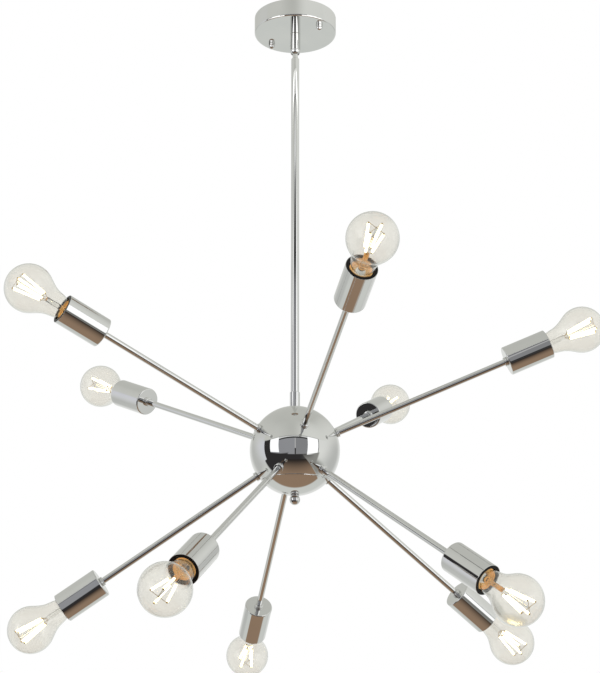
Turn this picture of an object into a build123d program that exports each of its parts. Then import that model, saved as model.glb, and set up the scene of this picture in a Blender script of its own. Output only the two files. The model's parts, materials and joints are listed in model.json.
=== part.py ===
from build123d import *
from math import cos, radians, sin, sqrt
import os

# A ten-light sputnik chandelier. Millimetres, +Z up. The origin is on the ceiling plane, on the
# centre line of the downrod, and everything hangs below it.

# --- Canopy and what fastens it to the ceiling ---
canopy_radius = 56.5
canopy_height = 25.0
canopy_wall = 1.0
canopy_edge_radius = 2.0

bar_angle = -39.5
bar_length = 104.0
bar_width = 18.0
bar_thickness = 1.6
bar_corner_radius = 6.0
bar_centre_hole_radius = 7.0
box_screw_circle = 69.85
box_screw_hole_radius = 2.3

stud_radius = 2.0
stud_spacing = 86.0
stud_nut_flats = 7.0
stud_nut_height = 3.2
stud_reach_below_canopy = 5.5
cap_nut_radius = 4.7
cap_nut_skirt = 3.4
cap_nut_hole_depth = 6.0

# --- Ball swivel under the canopy ---
swivel_ball_radius = 6.1
swivel_ball_drop = 25.2
barrel_wall = 1.05
barrel_mouth_radius = 5.5
stem_neck_radius = 3.75
stem_bore_radius = 2.2
stem_shank_length = 12.0

nipple_radius = 4.9
nipple_bore_radius = 3.2
nipple_collar_length = 9.0
nipple_length_above_floor = 9.0
lock_nut_flats = 15.0
lock_nut_height = 4.0

# --- Downrod, hub coupling, tie rod and finial ---
rod_radius = 5.5
rod_wall = 1.2
rod_top_drop = 37.5
rod_seat_depth = 12.0
coupling_radius = 6.6
coupling_length = 20.0

tie_rod_radius = 4.9
tie_rod_bore_radius = 3.3
tie_rod_wire_hole_radius = 2.5
tie_rod_wire_hole_height = 12.0
tie_rod_tail_radius = 3.0
tie_rod_tail_reach = 6.5
tie_nut_flats = 14.0
tie_nut_height = 5.0

finial_radius = 6.35
finial_neck_radius = 4.2
finial_stand_off = 6.4
finial_hole_depth = 7.0

# --- Hub ---
hub_drop = 594.0
hub_radius = 58.0
hub_wall = 1.2
hub_cap_angle = 42.3
hub_cap_gap = 0.3
hub_lip_height = 2.0
hub_lip_root = 1.0
hub_lip_wall = 0.9

# --- Arms: two rings of five, every arm on a line through the middle of the hub ---
arms_per_ring = 5
upper_elevation = 22.4
lower_elevation = -33.7
upper_ring_angle = -4.6
lower_ring_angle = 29.9
arm_radius = 4.0
arm_wall = 0.8
arm_tail = 1.5
arm_tip_inside_cup = 18.0
lock_ring_radius = 6.0
lock_ring_length = 3.5
lock_ring_chamfer = 0.4
arm_nut_flats = 13.0
arm_nut_height = 5.0

# --- Socket cup and lampholder ---
cup_reach = 297.0
cup_radius = 19.0
cup_length = 58.5
cup_wall = 0.6
cup_edge_radius = 1.6
holder_rim_stands_out = 0.4
holder_collar_length = 9.0
holder_body_radius = 17.0
holder_mouth_radius = 14.8
holder_mouth_depth = 3.6
holder_floor = 3.0
holder_boss_radius = 8.0
screw_shell_wall = 0.5
screw_shell_flange_radius = 9.0
contact_radius = 3.5
contact_thickness = 1.4
contact_rivet_radius = 1.2

# --- Bulb: a 60 mm globe on a 26 mm screw cap ---
bulb_radius = 30.0
bulb_length = 108.0
cap_seat_depth = 30.2
glass_wall = 0.8
glass_shoulder_angle = 28.0
glass_neck_radius = 15.3
glass_neck_above_cap = 9.0
glass_root_radius = 12.3
glass_root_depth_in_cap = 1.0
glass_end_depth_in_cap = 5.0
cap_radius = 13.1
cap_wall = 0.5
cap_shell_length = 19.0
cap_cone_length = 3.5
cap_cone_end_radius = 8.0
insulator_tip_radius = 4.8
insulator_length = 2.5
cap_contact_radius = 4.4
cap_contact_height = 2.0
mount_flare_height = 12.0
mount_tube_radius = 3.0
mount_tube_top_drop = 24.0
mount_rod_radius = 1.2
filament_count = 4
filament_radius = 1.0
filament_bottom_drop = 20.0
filament_bottom_spread = 5.0
filament_top_height = 17.0
filament_top_spread = 11.0
filament_wire_radius = 0.4
wire_root_depth = 1.0

# --- Fits ---
thread_clearance = 0.05
slip_clearance = 0.1
hole_clearance = 0.15
turning_gap = 0.3

# --- Levels and places that follow from the sizes above ---
canopy_floor = -canopy_height
barrel_bore_radius = swivel_ball_radius + thread_clearance
barrel_radius = barrel_bore_radius + barrel_wall
ball_centre = Vector(0, 0, canopy_floor - swivel_ball_drop)
rod_top = canopy_floor - rod_top_drop
hub_centre = Vector(0, 0, canopy_floor - hub_drop)
hub_inner_radius = hub_radius - hub_wall
tie_hole_radius = tie_rod_radius + hole_clearance
arm_hole_radius = arm_radius + hole_clearance
cup_mouth = cup_reach + cup_length
cap_tip = cup_mouth - cap_seat_depth
bulb_centre = cap_tip + bulb_length - bulb_radius
cap_length = cap_shell_length + cap_cone_length + insulator_length + cap_contact_height
cap_rim_drop = bulb_length - bulb_radius - cap_length
glass_neck_drop = cap_rim_drop - glass_neck_above_cap
glass_root_drop = cap_rim_drop + glass_root_depth_in_cap
glass_end_drop = cap_rim_drop + glass_end_depth_in_cap


def sphere_height(sphere_radius, ring_radius):
    """Height of a sphere's surface above its middle, at this distance from the centre line."""
    return sqrt(sphere_radius**2 - ring_radius**2)


def upright_section(centre):
    """Upright plane through a point, with local X outwards and local Y up."""
    return Plane(centre, x_dir=(1, 0, 0), z_dir=(0, -1, 0))


def bar_plane(height):
    """Level plane at this height, with its local X along the mounting bar."""
    turn = radians(bar_angle)
    return Plane((0, 0, height), x_dir=(cos(turn), sin(turn), 0), z_dir=(0, 0, 1))


def arm_plane(ring_angle, elevation):
    """Plane at the middle of the hub, square to an arm, whose normal runs out along the arm."""
    turn = radians(ring_angle)
    tilt = radians(elevation)
    along_arm = (cos(tilt) * cos(turn), cos(tilt) * sin(turn), sin(tilt))
    return Plane(hub_centre, x_dir=(-sin(turn), cos(turn), 0), z_dir=along_arm)


def arm_ring(first_angle, elevation):
    """One ring of arms, equally spaced round the hub."""
    return [arm_plane(first_angle + 360 / arms_per_ring * k, elevation) for k in range(arms_per_ring)]


upper_arms = arm_ring(upper_ring_angle, upper_elevation)
lower_arms = arm_ring(lower_ring_angle, lower_elevation)
arms = upper_arms + lower_arms

os.makedirs("parts", exist_ok=True)


def save(part, name):
    part.label = name
    export_step(part, f"parts/{name}.step")


# --- Mounting bar: a steel strap with holes for the ceiling box screws and for the two studs ---
with BuildPart() as mounting_bar:
    with BuildSketch(bar_plane(-bar_thickness)):
        Rectangle(bar_length, bar_width)
        fillet(vertices(), bar_corner_radius)
        Circle(bar_centre_hole_radius, mode=Mode.SUBTRACT)
        with GridLocations(box_screw_circle, 0, 2, 1):
            Circle(box_screw_hole_radius, mode=Mode.SUBTRACT)
        with GridLocations(stud_spacing, 0, 2, 1):
            Circle(stud_radius + thread_clearance, mode=Mode.SUBTRACT)
    extrude(amount=bar_thickness)
save(mounting_bar.part, "mounting_bar")

# --- Canopy studs: screwed into the bar, locked by hex nuts, and long enough for the cap nuts ---
stud_bottom = canopy_floor - stud_reach_below_canopy
with BuildPart() as canopy_studs:
    with BuildSketch(bar_plane(stud_bottom)):
        with GridLocations(stud_spacing, 0, 2, 1):
            Circle(stud_radius)
    extrude(amount=-stud_bottom)
with BuildPart() as stud_nuts:
    with BuildSketch(bar_plane(-bar_thickness - stud_nut_height)):
        with GridLocations(stud_spacing, 0, 2, 1):
            RegularPolygon(stud_nut_flats / 2, 6, major_radius=False)
            Circle(stud_radius + thread_clearance, mode=Mode.SUBTRACT)
    extrude(amount=stud_nut_height)
save(Compound(canopy_studs.solids() + stud_nuts.solids()), "canopy_studs")

# --- Canopy: a spun pan, open to the ceiling ---
with BuildPart() as canopy:
    with BuildSketch(Plane.XY.offset(canopy_floor)):
        Circle(canopy_radius)
    extrude(amount=canopy_height)
    fillet(faces().sort_by(Axis.Z)[0].edges(), canopy_edge_radius)
    offset(amount=-canopy_wall, openings=faces().sort_by(Axis.Z)[-1])
    with BuildSketch(bar_plane(canopy_floor)):
        Circle(nipple_radius + hole_clearance)
        with GridLocations(stud_spacing, 0, 2, 1):
            Circle(stud_radius + hole_clearance)
    extrude(amount=canopy_wall, mode=Mode.SUBTRACT)
save(canopy.part, "canopy")


# --- Cap nuts: domed and blind, one on each stud under the canopy ---
def make_cap_nut(place_on_bar):
    centre = bar_plane(canopy_floor).from_local_coords(Vector(place_on_bar, 0, 0))
    with BuildPart() as cap_nut:
        with BuildSketch(upright_section(centre)):
            with BuildLine():
                Line((0, 0), (cap_nut_radius, 0))
                Line((cap_nut_radius, 0), (cap_nut_radius, -cap_nut_skirt))
                CenterArc((0, -cap_nut_skirt), cap_nut_radius, -90, 90)
                Line((0, -cap_nut_skirt - cap_nut_radius), (0, 0))
            make_face()
        revolve(axis=Axis(centre, (0, 0, 1)))
        with BuildSketch(Plane(centre)):
            Circle(stud_radius + thread_clearance)
        extrude(amount=-cap_nut_hole_depth, mode=Mode.SUBTRACT)
    return cap_nut.part


save(make_cap_nut(-stud_spacing / 2), "canopy_nut_left")
save(make_cap_nut(stud_spacing / 2), "canopy_nut_right")

# --- Swivel nipple: a hollow screw through the canopy, its collar inside the barrel ---
with BuildPart() as swivel_nipple:
    with BuildSketch(Plane.XY.offset(canopy_floor)):
        Circle(barrel_bore_radius - thread_clearance)
        Circle(nipple_bore_radius, mode=Mode.SUBTRACT)
    extrude(amount=-nipple_collar_length)
    with BuildSketch(Plane.XY.offset(canopy_floor)):
        Circle(nipple_radius)
        Circle(nipple_bore_radius, mode=Mode.SUBTRACT)
    extrude(amount=nipple_length_above_floor)
save(swivel_nipple.part, "swivel_nipple")

# --- Lock nut: holds the nipple from inside the canopy ---
with BuildPart() as canopy_lock_nut:
    with BuildSketch(Plane.XY.offset(canopy_floor + canopy_wall)):
        RegularPolygon(lock_nut_flats / 2, 6, major_radius=False)
        Circle(nipple_radius + thread_clearance, mode=Mode.SUBTRACT)
    extrude(amount=lock_nut_height)
save(canopy_lock_nut.part, "canopy_lock_nut")

# --- Swivel barrel: a tube whose domed end is the seat of the ball ---
barrel_top = canopy_floor - ball_centre.Z
mouth_drop_outside = sphere_height(barrel_radius, barrel_mouth_radius)
mouth_drop_inside = sphere_height(barrel_bore_radius, barrel_mouth_radius)
mouth_outside = (barrel_mouth_radius, -mouth_drop_outside)
mouth_inside = (barrel_mouth_radius, -mouth_drop_inside)
with BuildPart() as swivel_barrel:
    with BuildSketch(upright_section(ball_centre)):
        with BuildLine():
            Line((barrel_bore_radius, 0), (barrel_bore_radius, barrel_top))
            Line((barrel_bore_radius, barrel_top), (barrel_radius, barrel_top))
            Line((barrel_radius, barrel_top), (barrel_radius, 0))
            TangentArc((barrel_radius, 0), mouth_outside, tangent=(0, -1))
            Line(mouth_outside, mouth_inside)
            TangentArc((barrel_bore_radius, 0), mouth_inside, tangent=(0, -1))
        make_face()
    revolve(axis=Axis(ball_centre, (0, 0, 1)))
save(swivel_barrel.part, "swivel_barrel")

# --- Swivel stem: the ball, its neck and the shank that turns in the top of the downrod ---
stem_bottom = rod_top - stem_shank_length
with BuildPart() as swivel_stem:
    with Locations(ball_centre):
        Sphere(swivel_ball_radius)
    with BuildSketch(Plane.XY.offset(ball_centre.Z)):
        Circle(stem_neck_radius)
    extrude(amount=rod_top - ball_centre.Z)
    with BuildSketch(Plane.XY.offset(rod_top)):
        Circle(rod_radius - rod_wall - thread_clearance)
    extrude(amount=-stem_shank_length)
    with BuildSketch(Plane.XY.offset(stem_bottom)):
        Circle(stem_bore_radius)
    extrude(amount=ball_centre.Z + swivel_ball_radius - stem_bottom, mode=Mode.SUBTRACT)
save(swivel_stem.part, "swivel_stem")

# --- Downrod: one straight tube from the swivel to the hub coupling ---
coupling_bottom = hub_centre.Z + sphere_height(hub_radius, tie_hole_radius)
rod_bottom = coupling_bottom + coupling_length - rod_seat_depth
with BuildPart() as downrod:
    with BuildSketch(Plane.XY.offset(rod_bottom)):
        Circle(rod_radius)
        Circle(rod_radius - rod_wall, mode=Mode.SUBTRACT)
    extrude(amount=rod_top - rod_bottom)
save(downrod.part, "downrod")

# --- Hub coupling: a sleeve that takes the downrod above and the tie rod below ---
with BuildPart() as hub_coupling:
    with BuildSketch(Plane.XY.offset(coupling_bottom)):
        Circle(coupling_radius)
        Circle(tie_rod_radius + thread_clearance, mode=Mode.SUBTRACT)
    extrude(amount=coupling_length)
    with BuildSketch(Plane.XY.offset(rod_bottom)):
        Circle(rod_radius + thread_clearance)
    extrude(amount=rod_seat_depth, mode=Mode.SUBTRACT)
save(hub_coupling.part, "hub_coupling")

# --- Tie rod: hollow above for the wiring, solid below, with a thin tail for the finial ---
tie_shoulder = hub_centre.Z - sphere_height(hub_inner_radius, tie_rod_radius)
tie_top = rod_bottom - turning_gap
hub_bottom = hub_centre.Z - hub_radius
wire_hole_level = hub_centre.Z + tie_rod_wire_hole_height
with BuildPart() as hub_tie_rod:
    with BuildSketch(Plane.XY.offset(tie_shoulder)):
        Circle(tie_rod_radius)
    extrude(amount=tie_top - tie_shoulder)
    with BuildSketch(Plane.XY.offset(tie_shoulder)):
        Circle(tie_rod_tail_radius)
    extrude(amount=hub_bottom - tie_rod_tail_reach - tie_shoulder)
    with BuildSketch(Plane.XY.offset(wire_hole_level)):
        Circle(tie_rod_bore_radius)
    extrude(amount=tie_top - wire_hole_level, mode=Mode.SUBTRACT)
    with BuildSketch(upright_section(Vector(0, 0, wire_hole_level))):
        Circle(tie_rod_wire_hole_radius)
    extrude(amount=tie_rod_radius, both=True, mode=Mode.SUBTRACT)

tie_nut_corner_radius = tie_nut_flats / sqrt(3)
tie_nut_top = hub_centre.Z + sphere_height(hub_inner_radius, tie_nut_corner_radius)
with BuildPart() as tie_nut:
    with BuildSketch(Plane.XY.offset(tie_nut_top - tie_nut_height)):
        RegularPolygon(tie_nut_corner_radius, 6)
        Circle(tie_rod_radius + thread_clearance, mode=Mode.SUBTRACT)
    extrude(amount=tie_nut_height)
save(Compound(hub_tie_rod.solids() + tie_nut.solids()), "hub_tie_rod")


# --- Hub: a hollow ball, closed below by an access cap that the finial holds ---
hub_seam = -hub_radius * sin(radians(hub_cap_angle))
cap_edge = hub_seam - hub_cap_gap


def draw_hub_wall():
    """Section through one side of the whole ball's wall, about the middle of the hub."""
    CenterArc((0, 0), hub_radius, -90, 180)
    CenterArc((0, 0), hub_inner_radius, -90, 180)
    Line((0, hub_inner_radius), (0, hub_radius))
    Line((0, -hub_inner_radius), (0, -hub_radius))


with BuildPart() as hub_shell:
    with BuildSketch(upright_section(hub_centre)):
        with BuildLine():
            draw_hub_wall()
        make_face()
        with Locations((0, hub_seam)):
            Rectangle(hub_radius, hub_radius, align=(Align.MIN, Align.MAX), mode=Mode.SUBTRACT)
    revolve(axis=Axis.Z)
    with BuildSketch(Plane.XY.offset(hub_centre.Z)):
        Circle(tie_hole_radius)
    extrude(amount=hub_radius, mode=Mode.SUBTRACT)
    for arm in arms:
        with BuildSketch(arm.offset(hub_inner_radius - hub_wall)):
            Circle(arm_hole_radius)
        extrude(amount=3 * hub_wall, mode=Mode.SUBTRACT)
save(hub_shell.part, "hub_shell")

lip_radius = sphere_height(hub_inner_radius, hub_seam) - slip_clearance
with BuildPart() as hub_cap:
    with BuildSketch(upright_section(hub_centre)):
        with BuildLine():
            draw_hub_wall()
        make_face()
        with Locations((0, cap_edge)):
            Rectangle(hub_radius, 2 * hub_radius, align=(Align.MIN, Align.MIN), mode=Mode.SUBTRACT)
        with Locations((lip_radius, cap_edge - hub_lip_root)):
            Rectangle(
                hub_lip_wall,
                hub_lip_root + hub_cap_gap + hub_lip_height,
                align=(Align.MAX, Align.MIN),
            )
    revolve(axis=Axis.Z)
    with BuildSketch(Plane.XY.offset(hub_centre.Z)):
        Circle(tie_rod_tail_radius + hole_clearance)
    extrude(amount=-hub_radius, mode=Mode.SUBTRACT)
save(hub_cap.part, "hub_cap")

# --- Finial: a ball with a short neck, screwed onto the tail of the tie rod ---
finial_seat = hub_centre.Z - sphere_height(hub_radius, tie_rod_tail_radius + hole_clearance)
finial_centre = Vector(0, 0, hub_bottom - finial_stand_off)
with BuildPart() as finial:
    with Locations(finial_centre):
        Sphere(finial_radius)
    with BuildSketch(Plane.XY.offset(finial_centre.Z)):
        Circle(finial_neck_radius)
    extrude(amount=finial_seat - finial_centre.Z)
    with BuildSketch(Plane.XY.offset(finial_seat)):
        Circle(tie_rod_tail_radius + thread_clearance)
    extrude(amount=-finial_hole_depth, mode=Mode.SUBTRACT)
save(finial.part, "finial")

# --- What every arm carries. Each piece is made once, on an arm that stands along Z with the
# middle of the hub at the origin, and a copy is then set on each arm's own line. ---


def on_arm(part, arm):
    """Copies of the solids of a piece, moved from the Z axis to an arm's line."""
    return Compound([solid.moved(arm.location) for solid in part.solids()])


def on_all_arms(part):
    """The same on all arms, as one group of separate solids."""
    return Compound([solid.moved(arm.location) for arm in arms for solid in part.solids()])


# --- Arm tube, from inside the hub to inside the socket cup ---
arm_nut_corner_radius = arm_nut_flats / sqrt(3)
hub_nut_face = sphere_height(hub_inner_radius, arm_nut_corner_radius)
arm_start = hub_nut_face - arm_nut_height - arm_tail
arm_end = cup_reach + arm_tip_inside_cup
with BuildPart() as arm_tube:
    with BuildSketch(Plane.XY.offset(arm_start)):
        Circle(arm_radius)
        Circle(arm_radius - arm_wall, mode=Mode.SUBTRACT)
    extrude(amount=arm_end - arm_start)

# --- Lock rings: one outside the hub and one behind the cup ---
hub_ring_start = sphere_height(hub_radius, arm_hole_radius)
cup_ring_start = cup_reach - lock_ring_length
with BuildPart() as lock_rings:
    for ring_start in (hub_ring_start, cup_ring_start):
        with BuildSketch(Plane.XY.offset(ring_start)):
            Circle(lock_ring_radius)
            Circle(arm_radius + thread_clearance, mode=Mode.SUBTRACT)
        extrude(amount=lock_ring_length)
save(on_all_arms(lock_rings.part), "arm_lock_rings")

# --- Tube nuts: one inside the hub and one inside the cup ---
cup_nut_start = cup_reach + cup_wall
boss_start = cup_nut_start + arm_nut_height
with BuildPart() as tube_nuts:
    for nut_start in (hub_nut_face - arm_nut_height, cup_nut_start):
        with BuildSketch(Plane.XY.offset(nut_start)):
            RegularPolygon(arm_nut_corner_radius, 6)
            Circle(arm_radius + thread_clearance, mode=Mode.SUBTRACT)
        extrude(amount=arm_nut_height)
save(on_all_arms(tube_nuts.part), "arm_tube_nuts")

# --- Socket cup: a drawn cylinder with a rounded back, open towards the bulb ---
with BuildPart() as socket_cup:
    with BuildSketch(Plane.XY.offset(cup_reach)):
        Circle(cup_radius)
    extrude(amount=cup_length)
    fillet(faces().sort_by(Axis.Z)[0].edges(), cup_edge_radius)
    offset(amount=-cup_wall, openings=faces().sort_by(Axis.Z)[-1])
    with BuildSketch(Plane.XY.offset(cup_reach)):
        Circle(arm_hole_radius)
    extrude(amount=cup_wall, mode=Mode.SUBTRACT)

# --- Lampholder body: moulded, screwed onto the end of the arm, its rim closing the cup ---
holder_floor_top = cap_tip - slip_clearance - contact_thickness
holder_bottom = holder_floor_top - holder_floor
holder_rim = cup_mouth + holder_rim_stands_out
shell_bore_radius = cap_radius + slip_clearance
shell_radius = shell_bore_radius + screw_shell_wall
shell_top = bulb_centre - cap_rim_drop
with BuildPart() as lampholder_body:
    with BuildSketch(Plane.XY.offset(boss_start)):
        Circle(holder_boss_radius)
        Circle(arm_radius + thread_clearance, mode=Mode.SUBTRACT)
    extrude(amount=holder_bottom - boss_start)
    with BuildSketch(Plane.XY.offset(holder_bottom)):
        Circle(holder_body_radius)
    extrude(amount=holder_rim - holder_bottom)
    with BuildSketch(Plane.XY.offset(holder_rim)):
        Circle(cup_radius - cup_wall - slip_clearance)
    extrude(amount=-holder_collar_length)
    with BuildSketch(Plane.XY.offset(holder_floor_top)):
        Circle(shell_radius)
    extrude(amount=holder_rim - holder_floor_top, mode=Mode.SUBTRACT)
    with BuildSketch(Plane.XY.offset(holder_rim)):
        Circle(holder_mouth_radius)
    extrude(amount=-holder_mouth_depth, mode=Mode.SUBTRACT)
    with BuildSketch(Plane.XY.offset(holder_bottom)):
        Circle(contact_rivet_radius)
    extrude(amount=holder_floor, mode=Mode.SUBTRACT)
save(on_all_arms(lampholder_body.part), "lampholder_bodies")

# --- Screw shell: a thin cup with a hole in its floor, which the bulb's cap screws into ---
with BuildPart() as screw_shell:
    with BuildSketch(Plane.XY.offset(holder_floor_top)):
        Circle(shell_radius)
    extrude(amount=shell_top - holder_floor_top)
    with BuildSketch(Plane.XY.offset(holder_floor_top + screw_shell_wall)):
        Circle(shell_bore_radius)
    extrude(amount=shell_top - holder_floor_top, mode=Mode.SUBTRACT)
    with BuildSketch(Plane.XY.offset(holder_floor_top)):
        Circle(screw_shell_flange_radius)
    extrude(amount=screw_shell_wall, mode=Mode.SUBTRACT)
save(on_all_arms(screw_shell.part), "lampholder_shells")

# --- Centre contact: a disc on a rivet through the lampholder's floor ---
with BuildPart() as centre_contact:
    with BuildSketch(Plane.XY.offset(holder_floor_top)):
        Circle(contact_radius)
    extrude(amount=contact_thickness)
    with BuildSketch(Plane.XY.offset(holder_bottom)):
        Circle(contact_rivet_radius)
    extrude(amount=holder_floor)
save(on_all_arms(centre_contact.part), "lampholder_contacts")

# --- Bulb glass: a globe, a shoulder that leaves it as a tangent, a neck and a straight root ---
# A bulb's section is drawn with its local origin at the middle of the globe.
bulb_section = upright_section(Vector(0, 0, bulb_centre))


def glass_outline(inset):
    """Outline from the bulb's tip to its open end, moved inwards by the inset."""
    angle = radians(glass_shoulder_angle)
    radius = bulb_radius - inset
    shoulder = (radius * cos(angle), -radius * sin(angle))
    neck = (glass_neck_radius - inset, -glass_neck_drop)
    root = (glass_root_radius - inset, -glass_root_drop)
    shoulder_slope = (-sin(angle), -cos(angle))
    CenterArc((0, 0), radius, -glass_shoulder_angle, 90 + glass_shoulder_angle)
    Spline(shoulder, neck, root, tangents=(shoulder_slope, (0, -1)))
    Line(root, (glass_root_radius - inset, -glass_end_drop))


with BuildPart() as bulb_glass:
    with BuildSketch(bulb_section):
        with BuildLine():
            glass_outline(0)
            glass_outline(glass_wall)
            Line((0, bulb_radius - glass_wall), (0, bulb_radius))
            Line(
                (glass_root_radius - glass_wall, -glass_end_drop),
                (glass_root_radius, -glass_end_drop),
            )
        make_face()
    revolve(axis=Axis.Z)

# --- Bulb cap: a screw cap drawn in to a cone, with the insulator and the contact at its end ---
cone_start_drop = cap_rim_drop + cap_shell_length
insulator_drop = cone_start_drop + cap_cone_length
contact_drop = insulator_drop + insulator_length
cap_bore_radius = cap_radius - cap_wall
with BuildPart() as screw_cap:
    with BuildSketch(bulb_section):
        with BuildLine():
            Polyline(
                (cap_bore_radius, -cap_rim_drop),
                (cap_radius, -cap_rim_drop),
                (cap_radius, -cone_start_drop),
                (cap_cone_end_radius, -insulator_drop),
                (cap_cone_end_radius - cap_wall, -insulator_drop),
                (cap_bore_radius, -cone_start_drop),
                close=True,
            )
        make_face()
    revolve(axis=Axis.Z)

with BuildPart() as insulator:
    with BuildSketch(Plane.XY.offset(bulb_centre - insulator_drop)):
        Circle(cap_cone_end_radius)
    with BuildSketch(Plane.XY.offset(bulb_centre - contact_drop)):
        Circle(insulator_tip_radius)
    loft()

with BuildPart() as cap_contact:
    with BuildSketch(Plane.XY.offset(bulb_centre - contact_drop)):
        Circle(cap_contact_radius)
    extrude(amount=-cap_contact_height)
    fillet(faces().sort_by(Axis.Z)[0].edges(), cap_contact_height / 2)

# --- Filament mount: a glass flare, tube and rod that carry the filaments on short wires ---
mount_flare_radius = glass_root_radius - glass_wall - turning_gap
flare_top_drop = glass_end_drop - mount_flare_height
mount_rod_end = filament_top_height + 2 * filament_wire_radius


def spread_point(height, spread, angle):
    """Point at this height over the middle of the globe, this far from the bulb's line."""
    turn = radians(angle)
    return Vector(spread * cos(turn), spread * sin(turn), bulb_centre + height)


def add_bar(start, end, radius):
    """Add a straight round bar between two points to the part in hand."""
    with BuildSketch(Plane(start, z_dir=end - start)) as section:
        Circle(radius)
    extrude(section.sketch, amount=(end - start).length)


with BuildPart() as filament_mount:
    with BuildSketch(bulb_section):
        with BuildLine():
            Line((0, -glass_end_drop), (mount_flare_radius, -glass_end_drop))
            Spline(
                (mount_flare_radius, -glass_end_drop),
                (mount_tube_radius, -flare_top_drop),
                tangents=((-1, 0), (0, 1)),
            )
            Polyline(
                (mount_tube_radius, -flare_top_drop),
                (mount_tube_radius, -mount_tube_top_drop),
                (mount_rod_radius, -mount_tube_top_drop),
                (mount_rod_radius, mount_rod_end),
                (0, mount_rod_end),
                (0, -glass_end_drop),
            )
        make_face()
    revolve(axis=Axis.Z)
    for k in range(filament_count):
        angle = 360 / filament_count * (k + 0.5)
        bottom = spread_point(-filament_bottom_drop, filament_bottom_spread, angle)
        top = spread_point(filament_top_height, filament_top_spread, angle)
        add_bar(bottom, top, filament_radius)
        wire_root = spread_point(-mount_tube_top_drop - wire_root_depth, mount_rod_radius, angle)
        add_bar(wire_root, bottom, filament_wire_radius)
        add_bar(spread_point(filament_top_height, 0, angle), top, filament_wire_radius)

bulb_core = Compound(
    screw_cap.solids() + insulator.solids() + cap_contact.solids() + filament_mount.solids()
)

# --- One tube, cup, glass and core on each arm, numbered round the upper ring, then the lower ---
for number, arm in enumerate(arms, start=1):
    save(on_arm(arm_tube.part, arm), f"arm_tube_{number}")
    save(on_arm(socket_cup.part, arm), f"socket_cup_{number}")
    save(on_arm(bulb_glass.part, arm), f"bulb_glass_{number}")
    save(on_arm(bulb_core, arm), f"bulb_core_{number}")
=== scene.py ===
import json
from math import atan2, cos, pi, radians, sin, sqrt

import bmesh
import bpy
from mathutils import Matrix, Vector


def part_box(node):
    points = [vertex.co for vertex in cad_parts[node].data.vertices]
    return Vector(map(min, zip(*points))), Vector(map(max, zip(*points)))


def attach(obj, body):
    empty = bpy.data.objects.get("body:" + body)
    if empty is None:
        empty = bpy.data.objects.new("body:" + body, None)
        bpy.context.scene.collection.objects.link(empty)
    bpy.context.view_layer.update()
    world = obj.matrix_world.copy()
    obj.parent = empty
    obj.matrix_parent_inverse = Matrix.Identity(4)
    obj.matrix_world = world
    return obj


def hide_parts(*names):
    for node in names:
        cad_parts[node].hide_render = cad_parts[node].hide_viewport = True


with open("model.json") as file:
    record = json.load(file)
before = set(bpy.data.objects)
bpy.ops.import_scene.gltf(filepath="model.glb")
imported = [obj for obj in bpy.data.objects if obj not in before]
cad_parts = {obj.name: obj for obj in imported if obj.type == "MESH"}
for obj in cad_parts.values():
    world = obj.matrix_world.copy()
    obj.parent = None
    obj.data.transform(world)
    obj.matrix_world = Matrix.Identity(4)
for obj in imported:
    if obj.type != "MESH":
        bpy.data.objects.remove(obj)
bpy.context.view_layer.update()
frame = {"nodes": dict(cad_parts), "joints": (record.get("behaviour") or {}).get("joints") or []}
mm = 0.001

# --- Mounting bar: a punched steel strap that is screwed to the ceiling box, with two studs locked
# in it by hex nuts. It is zinc plated, a dull blue grey with pale patches, and the canopy hides it. ---


def new_material(name):
    """A material with one shader, and the lists of its nodes and links."""
    material = bpy.data.materials.new(name)
    material.use_nodes = True
    return material, material.node_tree.nodes, material.node_tree.links


def grain(nodes, links, size, detail=3.0):
    """Noise laid on the piece itself, with blotches of about this size."""
    place = nodes.new("ShaderNodeTexCoord")
    texture = nodes.new("ShaderNodeTexNoise")
    texture.inputs["Scale"].default_value = 1 / size
    texture.inputs["Detail"].default_value = detail
    links.new(place.outputs["Object"], texture.inputs["Vector"])
    return texture.outputs["Fac"]


def stretched(nodes, links, source, low, high):
    """The middle of a noise's range, stretched to run from one value to another."""
    ramp = nodes.new("ShaderNodeMapRange")
    ramp.inputs["From Min"].default_value = 0.3
    ramp.inputs["From Max"].default_value = 0.7
    ramp.inputs["To Min"].default_value = low
    ramp.inputs["To Max"].default_value = high
    links.new(source, ramp.inputs["Value"])
    return ramp.outputs["Result"]


def blotched(nodes, links, source, dark, light, target):
    """Colour a socket between two colours, by a noise."""
    mix = nodes.new("ShaderNodeMix")
    mix.data_type = "RGBA"
    mix.inputs["A"].default_value = (*dark, 1)
    mix.inputs["B"].default_value = (*light, 1)
    links.new(stretched(nodes, links, source, 0, 1), mix.inputs["Factor"])
    links.new(mix.outputs["Result"], target)


def embossed(nodes, links, source, height, shader):
    """Raise the surface by a noise, in metres."""
    bump = nodes.new("ShaderNodeBump")
    bump.inputs["Strength"].default_value = 1.0
    bump.inputs["Distance"].default_value = height
    links.new(source, bump.inputs["Height"])
    links.new(bump.outputs["Normal"], shader.inputs["Normal"])


def metal(name, dark, light, gloss, blotch, ripple, ripple_height):
    """Bare or plated metal: a colour that drifts, a gloss that comes and goes, and a fine ripple."""
    material, nodes, links = new_material(name)
    shader = nodes["Principled BSDF"]
    shader.inputs["Metallic"].default_value = 1.0
    blotched(nodes, links, grain(nodes, links, blotch), dark, light, shader.inputs["Base Color"])
    haze = stretched(nodes, links, grain(nodes, links, blotch / 3, detail=5), *gloss)
    links.new(haze, shader.inputs["Roughness"])
    embossed(nodes, links, grain(nodes, links, ripple, detail=2), ripple_height, shader)
    return material


def recoated(node, material):
    """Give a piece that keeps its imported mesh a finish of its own."""
    slots = frame["nodes"][node].data.materials
    slots.clear()
    slots.append(material)


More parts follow.
